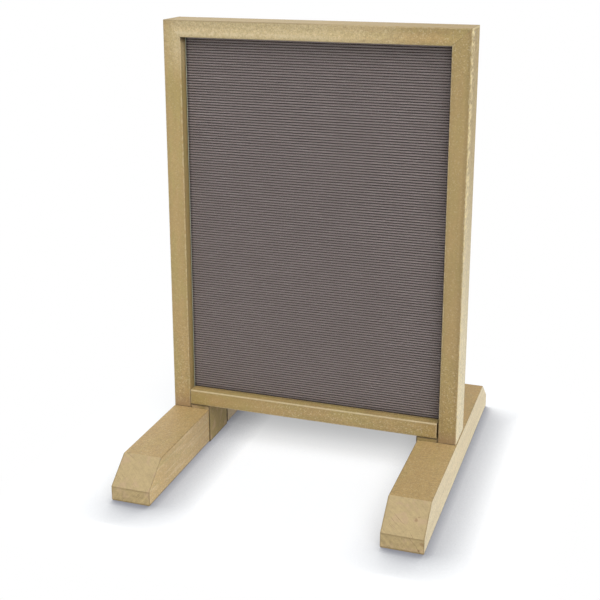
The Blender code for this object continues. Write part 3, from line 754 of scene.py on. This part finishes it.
def cut_flats(shape, across, count):
    """Cut a round head down to a many-sided one, by its width across the flats."""
    for n in range(count):
        out = Vector((cos(n * tau / count), sin(n * tau / count), 0.0))
        everything = shape.verts[:] + shape.edges[:] + shape.faces[:]
        cut = bmesh.ops.bisect_plane(shape, geom=everything, dist=WELD, plane_co=out * across / 2,
                                     plane_no=out, clear_outer=True)
        rim = [item for item in cut["geom_cut"] if isinstance(item, bmesh.types.BMEdge)]
        bmesh.ops.edgeloop_fill(shape, edges=rim)
    bmesh.ops.recalc_face_normals(shape, faces=shape.faces)


def add_thread(shape, core, crest, bottom, top, pitch, segments=14):
    """A sharp ridge wound up a shank, from just inside its core to the crest of the thread."""
    turns = ceil((top - bottom) / pitch)
    root = core - 0.2 * MM
    section = [shape.verts.new((radius, 0.0, bottom + rise * pitch))
               for radius, rise in ((root, -0.22), (crest, 0.0), (root, 0.22))]
    edges = [shape.edges.new((section[n - 1], section[n])) for n in range(3)]
    before = set(shape.faces)
    bmesh.ops.spin(shape, geom=section + edges, cent=(0, 0, 0), axis=(0, 0, 1),
                   angle=turns * tau, steps=turns * segments, dvec=(0, 0, pitch / segments))
    ends = [edge for edge in shape.edges if edge.is_boundary]
    bmesh.ops.holes_fill(shape, edges=ends, sides=3)
    wound = [face for face in shape.faces if face not in before]
    bmesh.ops.recalc_face_normals(shape, faces=wound)


def taper(shape, tip, length):
    """Draw the end of a shank in to its point."""
    for vert in shape.verts:
        share = min(1.0, max(0.0, (tip - vert.co.z) / length))
        vert.co.x *= share
        vert.co.y *= share


def in_scene(name, data):
    """A new object at the origin."""
    thing = bpy.data.objects.new(name, data)
    bpy.context.scene.collection.objects.link(thing)
    return thing


def finish_piece(name, shape, node, materials, body):
    """A worked shape as a piece that stands for a CAD node and rides with its body."""
    mesh = bpy.data.meshes.new(name)
    shape.to_mesh(mesh)
    shape.free()
    mesh.shade_smooth()
    mesh.set_sharp_from_angle(angle=SMOOTH_UP_TO)
    piece = in_scene(name, mesh)
    for material in materials:
        mesh.materials.append(material)
    weighted = piece.modifiers.new("flat_faces", "WEIGHTED_NORMAL")
    weighted.keep_sharp = True
    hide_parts(node)
    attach(piece, body)


def repaint(node, material):
    """Give a shown CAD node its finish."""
    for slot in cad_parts[node].material_slots:
        slot.material = material


# Operators


class MESSAGEBOARD_OT_frame_lumber(bpy.types.Operator):
    """Dress the two posts and the two rails"""

    bl_idname = "message_board.frame_lumber"
    bl_label = "Frame Lumber"

    def execute(self, context):
        settings = context.scene.message_board_lumber
        for node, axis, tone in (("left_post", Z, 0.99), ("right_post", Z, 0.875),
                                 ("top_rail", X, 1.0), ("bottom_rail", X, 0.93)):
            shape = eased_copy(node, settings)
            finish = moulded_lumber(f"{node}_sand", node, axis, settings, tone)
            finish_piece(f"{node}_lumber", shape, node, [finish], "board")
        return {"FINISHED"}


class MESSAGEBOARD_OT_feet(bpy.types.Operator):
    """Dress the feet and the blocks let into them"""

    bl_idname = "message_board.feet"
    bl_label = "Feet and Blocks"

    def execute(self, context):
        settings = context.scene.message_board_lumber
        for side in SIDES:
            self.dress_foot(side, settings)
            node = f"{side}_foot_block"
            shape = eased_copy(node, settings)
            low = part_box(node)[0]
            blade = (low[X], low[Y] - 0.1, 0.3)
            finish = sawn_lumber(f"{node}_sawn", node, "block", settings, blade)
            finish_piece(f"{node}_lumber", shape, node, [finish], "board")
        return {"FINISHED"}

    def dress_foot(self, side, settings):
        """A foot with moulded faces (slot 0), sawn chamfers (1) and rough toes (2)."""
        node = f"{side}_foot"
        shape = merged_copy(node)
        low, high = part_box(node)
        lip = 0.0
        for face in shape.faces:
            if abs(face.normal.y) > 0.3:
                middle = face.calc_center_median().y
                if min(abs(low[Y] - middle), abs(high[Y] - middle)) < 0.5 * MM:
                    face.material_index = 2
                    lip = max(vert.co.z for vert in face.verts)
                elif abs(face.normal.z) > 0.3:
                    face.material_index = 1
        long_edges = [edge for edge in outer_edges(shape, node)
                      if abs(edge.verts[0].co.y - edge.verts[1].co.y) > 100 * MM]
        ease(shape, long_edges, settings.roundover, 3)
        cut_edges = [edge for edge in outer_edges(shape, node)
                     if edge.calc_face_angle() > CHAMFER_EDGE]
        ease(shape, cut_edges, settings.ease)
        blade = (low[X] - 150 * MM, low[Y] - 100 * MM, -150 * MM)
        knots = ()
        if side == "right":
            blade = (low[X] - 140 * MM, low[Y] - 60 * MM, -170 * MM)
            knots = (((high[X] - 26 * MM, low[Y] + 33 * MM, 61 * MM), 3.6 * MM),
                     ((high[X] - 22 * MM, low[Y] + 38 * MM, 66 * MM), 2.6 * MM),
                     ((high[X] - 6 * MM, low[Y], 24 * MM), 6 * MM),
                     ((high[X] - 11 * MM, low[Y], 8 * MM), 5 * MM))
        toe_blade = (0.0, low[Y], -260 * MM)
        finishes = [moulded_lumber(f"{node}_sand", node, Y, settings),
                    sawn_lumber(f"{node}_chamfer", node, "sawn", settings, blade, knots),
                    sawn_lumber(f"{node}_toe", node, "lip", settings, toe_blade, knots, lip, 1.9)]
        finish_piece(f"{node}_lumber", shape, node, finishes, "board")


class MESSAGEBOARD_OT_panels(bpy.types.Operator):
    """Dress the letter panels and the core board"""

    bl_idname = "message_board.panels"
    bl_label = "Letter Panels"

    def execute(self, context):
        settings = context.scene.message_board_panels
        for face in FACES:
            repaint(f"{face}_letter_panel", flocked_panel(f"{face}_flock", face, settings))
        repaint("core_board", pressed_board("pressed_board", settings))
        return {"FINISHED"}


class MESSAGEBOARD_OT_panes(bpy.types.Operator):
    """Dress the clear panes"""

    bl_idname = "message_board.panes"
    bl_label = "Clear Panes"

    def execute(self, context):
        settings = context.scene.message_board_panes
        for face in FACES:
            repaint(f"{face}_pane", clear_pane(f"{face}_clear", face, settings))
        return {"FINISHED"}


class MESSAGEBOARD_OT_fasteners(bpy.types.Operator):
    """Make the bolts, washers, screws and nails"""

    bl_idname = "message_board.fasteners"
    bl_label = "Fasteners"

    def execute(self, context):
        settings = context.scene.message_board_steel
        steel = zinc_steel("zinc_steel", settings)
        makers = {"_bolt": self.lag_bolt, "_washer": self.washer,
                  "_screw": self.pan_screw, "_nail": self.nail}
        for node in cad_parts:
            for ending, make in makers.items():
                if node.endswith(ending):
                    low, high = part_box(node)
                    shape = make(low, high, settings)
                    finish_piece(f"{node}_steel", shape, node, [steel], "board")
        return {"FINISHED"}

    def stand(self, shape, low, high):
        """Move a shape lathed round the Z axis to the middle of its node."""
        middle = ((low[X] + high[X]) / 2, (low[Y] + high[Y]) / 2, 0.0)
        bmesh.ops.translate(shape, verts=shape.verts, vec=middle)
        return shape

    def lag_bolt(self, low, high, settings):
        """A lag bolt: chamfered six-sided head, plain neck, coarse thread and gimlet point."""
        base, tip = low[Z], high[Z]
        flats, corner = high[X] - low[X], (high[Y] - low[Y]) / 2
        shank, core, point = 4 * MM, 3.1 * MM, 9 * MM
        seat = base + 5.3 * MM
        neck = seat + 48 * MM
        profile = [(0, base), (flats * 0.46, base), (corner, base + 1.0 * MM),
                   (corner, seat), (shank + 0.6 * MM, seat), (shank, seat + 0.6 * MM),
                   (shank, neck), (core, neck + 1.2 * MM), (core, tip - point),
                   (core, tip - 4 * MM), (core, tip - 0.2 * MM), (0, tip)]
        shape = lathed(profile, 36)
        cut_flats(shape, flats, 6)
        add_thread(shape, core, shank, neck + 1.5 * MM, tip - 1.5 * MM, settings.bolt_thread)
        taper(shape, tip, point)
        return self.stand(shape, low, high)

    def washer(self, low, high, settings):
        """A stamped washer, its lower rim rolled over by the die."""
        base, tip = low[Z], high[Z]
        rim, bore = (high[X] - low[X]) / 2, 4.3 * MM
        profile = [(bore, base + 0.25 * MM), (bore + 0.25 * MM, base),
                   (rim - 0.5 * MM, base), (rim - 0.15 * MM, base + 0.15 * MM),
                   (rim, base + 0.5 * MM), (rim, tip - 0.1 * MM),
                   (rim - 0.1 * MM, tip), (bore + 0.1 * MM, tip),
                   (bore, tip - 0.1 * MM)]
        return self.stand(lathed(profile, 48, closed=True), low, high)

    def pan_screw(self, low, high, settings):
        """A pan-headed screw: six-lobed recess, domed head, thread and point."""
        base, tip = low[Z], high[Z]
        rim, recess = (high[X] - low[X]) / 2, 2.0 * MM
        shank, core, point = 3 * MM, 2.2 * MM, 7 * MM
        seat = base + 4 * MM
        neck = seat + 22 * MM
        profile = [(0, base + 2.4 * MM), (recess * 0.92, base + 2.2 * MM),
                   (recess, base + 0.2 * MM), (recess + 0.5 * MM, base),
                   (rim * 0.62, base + 0.15 * MM), (rim * 0.84, base + 0.7 * MM),
                   (rim * 0.96, base + 1.6 * MM), (rim, base + 2.6 * MM),
                   (rim, seat - 0.3 * MM), (rim - 0.3 * MM, seat), (shank, seat), (shank, neck),
                   (core, neck + 1.0 * MM), (core, tip - point), (core, tip - 3 * MM),
                   (core, tip - 0.2 * MM), (0, tip)]
        shape = lathed(profile, 24)
        for vert in shape.verts:
            in_recess = 0.1 * MM < vert.co.xy.length < recess + 0.1 * MM
            if vert.co.z < base + 2.3 * MM and in_recess:
                lobe = 1.0 + 0.16 * cos(6 * atan2(vert.co.y, vert.co.x))
                vert.co.x *= lobe
                vert.co.y *= lobe
        add_thread(shape, core, shank, neck + 1.2 * MM, tip - 1.2 * MM, settings.screw_thread)
        taper(shape, tip, point)
        return self.stand(shape, low, high)

    def nail(self, low, high, settings):
        """A nail lying along X: low domed head flush with the post, grip rings below it."""
        length, rim, shank = high[X] - low[X], (high[Z] - low[Z]) / 2, 1.4 * MM
        profile = [(0, 0), (rim * 0.5, -0.04 * MM), (rim * 0.86, -0.2 * MM), (rim, -0.5 * MM),
                   (rim, -0.85 * MM), (rim * 0.8, -1.2 * MM), (shank, -1.5 * MM)]
        for ring in range(5):
            top = -3 * MM - ring * 1.2 * MM
            profile += [(shank, top), (shank * 0.9, top - 0.3 * MM), (shank, top - 0.6 * MM)]
        profile += [(shank, -length + 4 * MM), (0, -length)]
        shape = lathed(profile, 24)
        on_right = high[X] > 0
        out = Vector((1.0 if on_right else -1.0, 0.0, 0.0))
        turn = out.to_track_quat("Z", "Y").to_matrix()
        bmesh.ops.rotate(shape, verts=shape.verts, cent=(0, 0, 0), matrix=turn)
        head = (high[X] if on_right else low[X], (low[Y] + high[Y]) / 2, (low[Z] + high[Z]) / 2)
        bmesh.ops.translate(shape, verts=shape.verts, vec=head)
        return shape


class MESSAGEBOARD_OT_stage(bpy.types.Operator):
    """Set the floor, the light and the camera"""

    bl_idname = "message_board.stage"
    bl_label = "Stage"

    def execute(self, context):
        settings = context.scene.message_board_stage
        self.make_floor(settings)
        self.make_world(context.scene, settings)
        self.make_lamp("key_light", settings.key, settings.key_from, settings)
        self.make_lamp("fill_light", settings.fill, settings.fill_from, settings)
        self.make_camera(context.scene, settings)
        context.scene.view_settings.view_transform = "Standard"
        return {"FINISHED"}

    def seen_share(self, finish):
        """1 for a ray that looks at the stage, straight or in a reflection, and 0 for its light."""
        kinds = ("Is Camera Ray", "Is Glossy Ray", "Is Transmission Ray")
        looked_at, mirrored, through = [finish.ray(kind) for kind in kinds]
        return looked_at.most(mirrored.most(through))

    def make_floor(self, settings):
        """A white floor that keeps the board's shadow, painted for what the camera sees."""
        shape = bmesh.new()
        bmesh.ops.create_grid(shape, x_segments=1, y_segments=1, size=FLOOR_REACH)
        mesh = bpy.data.meshes.new("floor")
        shape.to_mesh(mesh)
        shape.free()
        floor = in_scene("floor", mesh)
        finish = Finish("floor_white")
        pale = finish.node("ShaderNodeBsdfDiffuse", inputs={"Color": opaque(settings.floor)})
        white = finish.light(WHITE, 1.0)
        lean = finish.joined(*settings.lean)
        near, touch = [finish.node("ShaderNodeAmbientOcclusion", {"samples": OCCLUSION_SAMPLES},
                                   {"Distance": reach, "Normal": lean}, output="AO")
                       for reach in (settings.contact, settings.touch)]
        x, y, _ = finish.split(finish.place())
        # Painted shadow of the board on the floor behind it.
        behind = finish.fade(y, -0.06, 0.17) * finish.fade(y, 0.60, 0.17)
        behind = behind * finish.fade(abs(x), 0.36, 0.26)
        shown = finish.mix(near ** 1.8 * touch, settings.shadow, WHITE)
        shown = finish.shade(shown, 1.0 - behind * settings.behind)
        cooled = finish.mix(1.0, settings.cool, shown, "MULTIPLY")
        own = finish.node("ShaderNodeBsdfDiffuse", inputs={"Color": cooled})
        lift = finish.light(shown, settings.floor_lift)
        lifted = finish.node("ShaderNodeAddShader", inputs={0: own, 1: lift})
        gap_x = (abs(x) - cad_high[X]).most(0.0)
        gap_y = (abs(y) - cad_high[Y]).most(0.0)
        gap = (gap_x * gap_x + gap_y * gap_y).root()
        far = finish.fade(gap, 0.2 * settings.spread, settings.spread)
        seen = finish.either(far, lifted, white)
        surface = finish.either(finish.ray("Is Camera Ray"), pale, seen)
        finish.output(finish.either(finish.ray("Is Glossy Ray"), surface, white))
        mesh.materials.append(finish.material)

    def make_world(self, scene, settings):
        world = bpy.data.worlds.new("studio")
        world.use_nodes = True
        scene.world = world
        finish = Finish("studio", world.node_tree)
        height = finish.split(finish.node("ShaderNodeTexCoord", output="Generated"))[Z]
        strength = finish.fade(height, 0.0, 1.0) * settings.overhead + settings.ambient
        around = finish.light(settings.sky, strength, "ShaderNodeBackground")
        white = finish.light(WHITE, 1.0, "ShaderNodeBackground")
        sky = finish.either(self.seen_share(finish), around, white)
        finish.output(sky, "ShaderNodeOutputWorld")

    def make_lamp(self, name, strength, source, settings):
        lamp = bpy.data.lights.new(name, "SUN")
        lamp.energy = strength
        lamp.color = settings.warmth
        lamp.angle = LAMP_ANGLE
        holder = in_scene(name, lamp)
        holder.location = source
        holder.rotation_euler = Vector(source).to_track_quat("Z", "Y").to_euler()
        holder.visible_glossy = name == "key_light"

    def make_camera(self, scene, settings):
        camera = bpy.data.cameras.new("camera")
        camera.sensor_width = SENSOR_WIDTH
        camera.lens = settings.lens
        camera.shift_y = settings.rise
        holder = in_scene("camera", camera)
        holder.location = settings.camera
        holder.rotation_euler = Euler((pi / 2 - settings.pitch, 0.0, settings.yaw))
        scene.camera = holder


OPERATORS = (
    MESSAGEBOARD_OT_stage,
    MESSAGEBOARD_OT_frame_lumber,
    MESSAGEBOARD_OT_feet,
    MESSAGEBOARD_OT_panels,
    MESSAGEBOARD_OT_panes,
    MESSAGEBOARD_OT_fasteners,
)

SETTINGS = {
    "message_board_lumber": LumberSettings,
    "message_board_panels": PanelSettings,
    "message_board_panes": PaneSettings,
    "message_board_steel": SteelSettings,
    "message_board_stage": StageSettings,
}


class MESSAGEBOARD_PT_sidebar(bpy.types.Panel):
    """The board's operators and their settings."""

    bl_label = "Message Board"
    bl_idname = "MESSAGEBOARD_PT_sidebar"
    bl_space_type = "VIEW_3D"
    bl_region_type = "UI"
    bl_category = "Message Board"

    def draw(self, context):
        column = self.layout.column()
        for operator in OPERATORS:
            column.operator(operator.bl_idname)
        for name, group in SETTINGS.items():
            box = self.layout.box()
            for key in group.__annotations__:
                box.prop(getattr(context.scene, name), key)


CLASSES = (*SETTINGS.values(), *OPERATORS, MESSAGEBOARD_PT_sidebar)


def register():
    for cls in CLASSES:
        bpy.utils.register_class(cls)
    for name, group in SETTINGS.items():
        setattr(bpy.types.Scene, name, PointerProperty(type=group))


def unregister():
    for name in SETTINGS:
        delattr(bpy.types.Scene, name)
    for cls in reversed(CLASSES):
        bpy.utils.unregister_class(cls)


def main():
    register()
    bpy.ops.message_board.stage()
    bpy.ops.message_board.frame_lumber()
    bpy.ops.message_board.feet()
    bpy.ops.message_board.panels()
    bpy.ops.message_board.panes()
    bpy.ops.message_board.fasteners()


if __name__ == "__main__":
    main()
